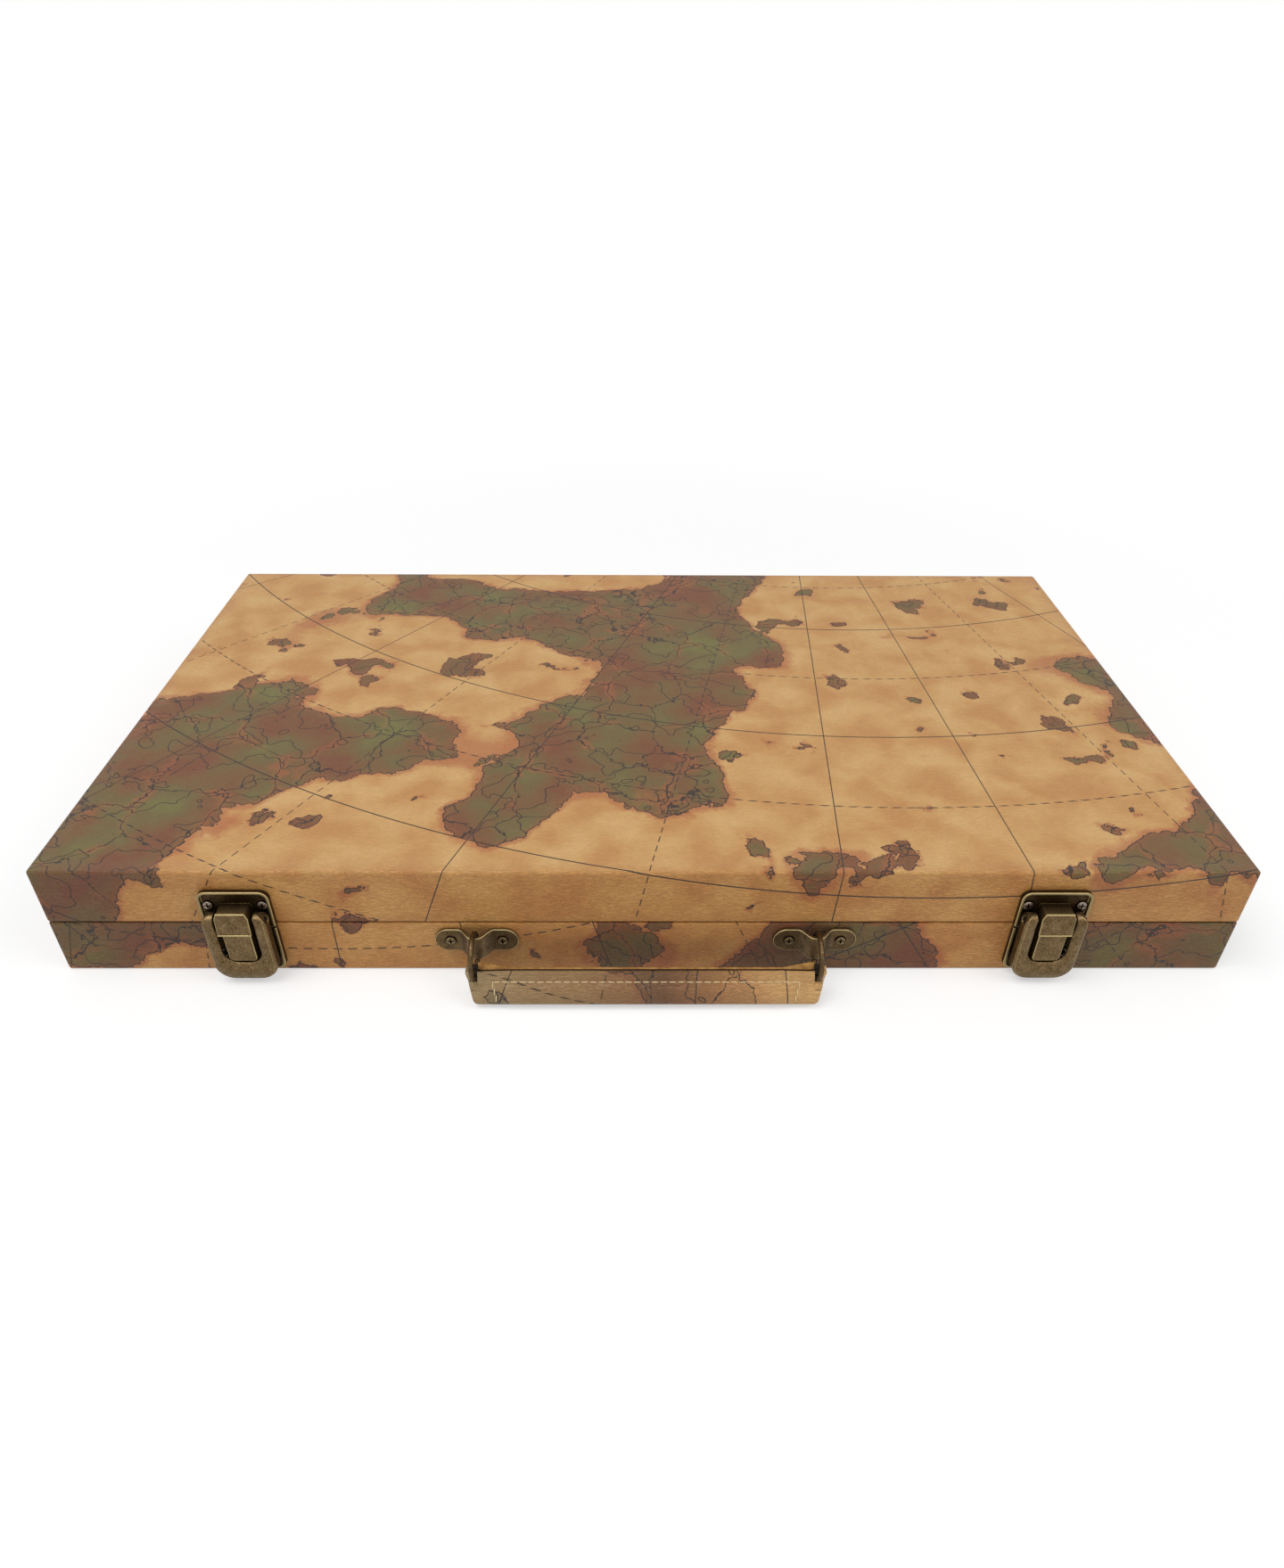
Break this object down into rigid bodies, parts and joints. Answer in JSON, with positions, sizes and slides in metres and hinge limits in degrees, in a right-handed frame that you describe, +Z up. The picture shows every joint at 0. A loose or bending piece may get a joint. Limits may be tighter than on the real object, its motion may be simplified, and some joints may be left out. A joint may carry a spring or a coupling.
{
  "type": "travel backgammon set",
  "caption": "Slim hinged carrying case in printed leatherette that opens flat into a backgammon board, with hasp latches, a padded handle on wire rings, checkers, dice and cups inside.",
  "frame": {"origin": "centre of the flat face under the tray, on which the closed case rests", "axes": "+X to the right along the front, +Y from the latches towards the hinges, +Z up through the lid"},
  "size_m": [0.38, 0.2415, 0.0422],
  "materials": {
    "leatherette": "printed, grained, semi-gloss",
    "raw_wood": "sawn and oiled",
    "fibreboard": "pressed board",
    "board_hide": "smooth, matte",
    "felt": "brushed",
    "antique_brass": "darkened, with rubbed edges",
    "steel": "drawn",
    "nickel": "worn nickel plate",
    "resin_light": "polished",
    "resin_dark": "polished"
  },
  "bodies": {
    "tray": {"tray_cover": "leatherette", "tray_frame": "raw_wood", "tray_divider": "raw_wood", "tray_panel": "fibreboard", "tray_board": "board_hide", "dice_cup_left": "board_hide", "dice_cup_right": "board_hide", "tray_trough_lining": "felt", "dice_cup_left_lining": "felt", "dice_cup_right_lining": "felt", "hinge_left_tray_leaf": "antique_brass", "hinge_right_tray_leaf": "antique_brass", "latch_left_tray_plate": "antique_brass", "latch_right_tray_plate": "antique_brass", "handle_left_bracket": "antique_brass", "handle_right_bracket": "antique_brass", "hinge_left_pin": "steel", "hinge_right_pin": "steel", "latch_left_spring": "steel", "latch_right_spring": "steel", "latch_left_tray_screw_left": "nickel", "latch_left_tray_screw_right": "nickel", "latch_right_tray_screw_left": "nickel", "latch_right_tray_screw_right": "nickel", "handle_left_screw_left": "nickel", "handle_left_screw_right": "nickel", "handle_right_screw_left": "nickel", "handle_right_screw_right": "nickel", "checkers_light": "resin_light", "die_light_1": "resin_light", "die_light_2": "resin_light", "doubling_cube": "resin_light", "checkers_dark": "resin_dark", "die_dark_1": "resin_dark", "die_dark_2": "resin_dark"},
    "lid": {"lid_cover": "leatherette", "lid_frame": "raw_wood", "lid_divider": "raw_wood", "lid_panel": "fibreboard", "lid_board": "board_hide", "lid_trough_lining": "felt", "hinge_left_lid_leaf": "antique_brass", "hinge_right_lid_leaf": "antique_brass", "latch_left_lid_plate": "antique_brass", "latch_right_lid_plate": "antique_brass", "latch_left_hasp_pin": "steel", "latch_right_hasp_pin": "steel", "latch_left_lid_screw_left": "nickel", "latch_left_lid_screw_right": "nickel", "latch_right_lid_screw_left": "nickel", "latch_right_lid_screw_right": "nickel"},
    "hasp_left": {"latch_left_hasp": "antique_brass"},
    "hasp_right": {"latch_right_hasp": "antique_brass"},
    "catch_left": {"latch_left_catch": "antique_brass"},
    "catch_right": {"latch_right_catch": "antique_brass"},
    "ring_left": {"handle_left_ring": "antique_brass"},
    "ring_right": {"handle_right_ring": "antique_brass"},
    "handle": {"handle_cover": "leatherette", "handle_core": "steel"}
  },
  "joints": [
    {"name": "lid_hinge", "type": "hinge", "parent": "tray", "child": "lid", "pos_m": [0, 0.1121, 0.0211], "axis": [-1, 0, 0], "range_deg": [0, 180]},
    {"name": "hasp_left_pivot", "type": "hinge", "parent": "lid", "child": "hasp_left", "pos_m": [-0.1282, -0.114, 0.0261], "axis": [-1, 0, 0], "range_deg": [0, 140]},
    {"name": "catch_left_slide", "type": "slide", "parent": "tray", "child": "catch_left", "axis": [0, 0, 1], "range_m": [0, 0.0015], "stiffness_N_per_m": 200, "springref_m": -0.002, "deforming": ["latch_left_spring"]},
    {"name": "hasp_right_pivot", "type": "hinge", "parent": "lid", "child": "hasp_right", "pos_m": [0.1282, -0.114, 0.0261], "axis": [-1, 0, 0], "range_deg": [0, 140]},
    {"name": "catch_right_slide", "type": "slide", "parent": "tray", "child": "catch_right", "axis": [0, 0, 1], "range_m": [0, 0.0015], "stiffness_N_per_m": 200, "springref_m": -0.002, "deforming": ["latch_right_spring"]},
    {"name": "ring_left_turn", "type": "hinge", "parent": "tray", "child": "ring_left", "pos_m": [-0.0543, -0.1184, 0.0146], "axis": [-1, 0, 0], "range_deg": [0, 110]},
    {"name": "ring_right_turn", "type": "hinge", "parent": "tray", "child": "ring_right", "pos_m": [0.0543, -0.1184, 0.0146], "axis": [-1, 0, 0], "range_deg": [0, 110]},
    {"name": "handle_swing", "type": "hinge", "parent": "ring_left", "child": "handle", "pos_m": [0, -0.12127, 0.0105], "axis": [-1, 0, 0], "range_deg": [-60, 60]}
  ],
  "couplings": [
    {"joint": "ring_right_turn", "follows": "ring_left_turn", "ratio": 1}
  ]
}
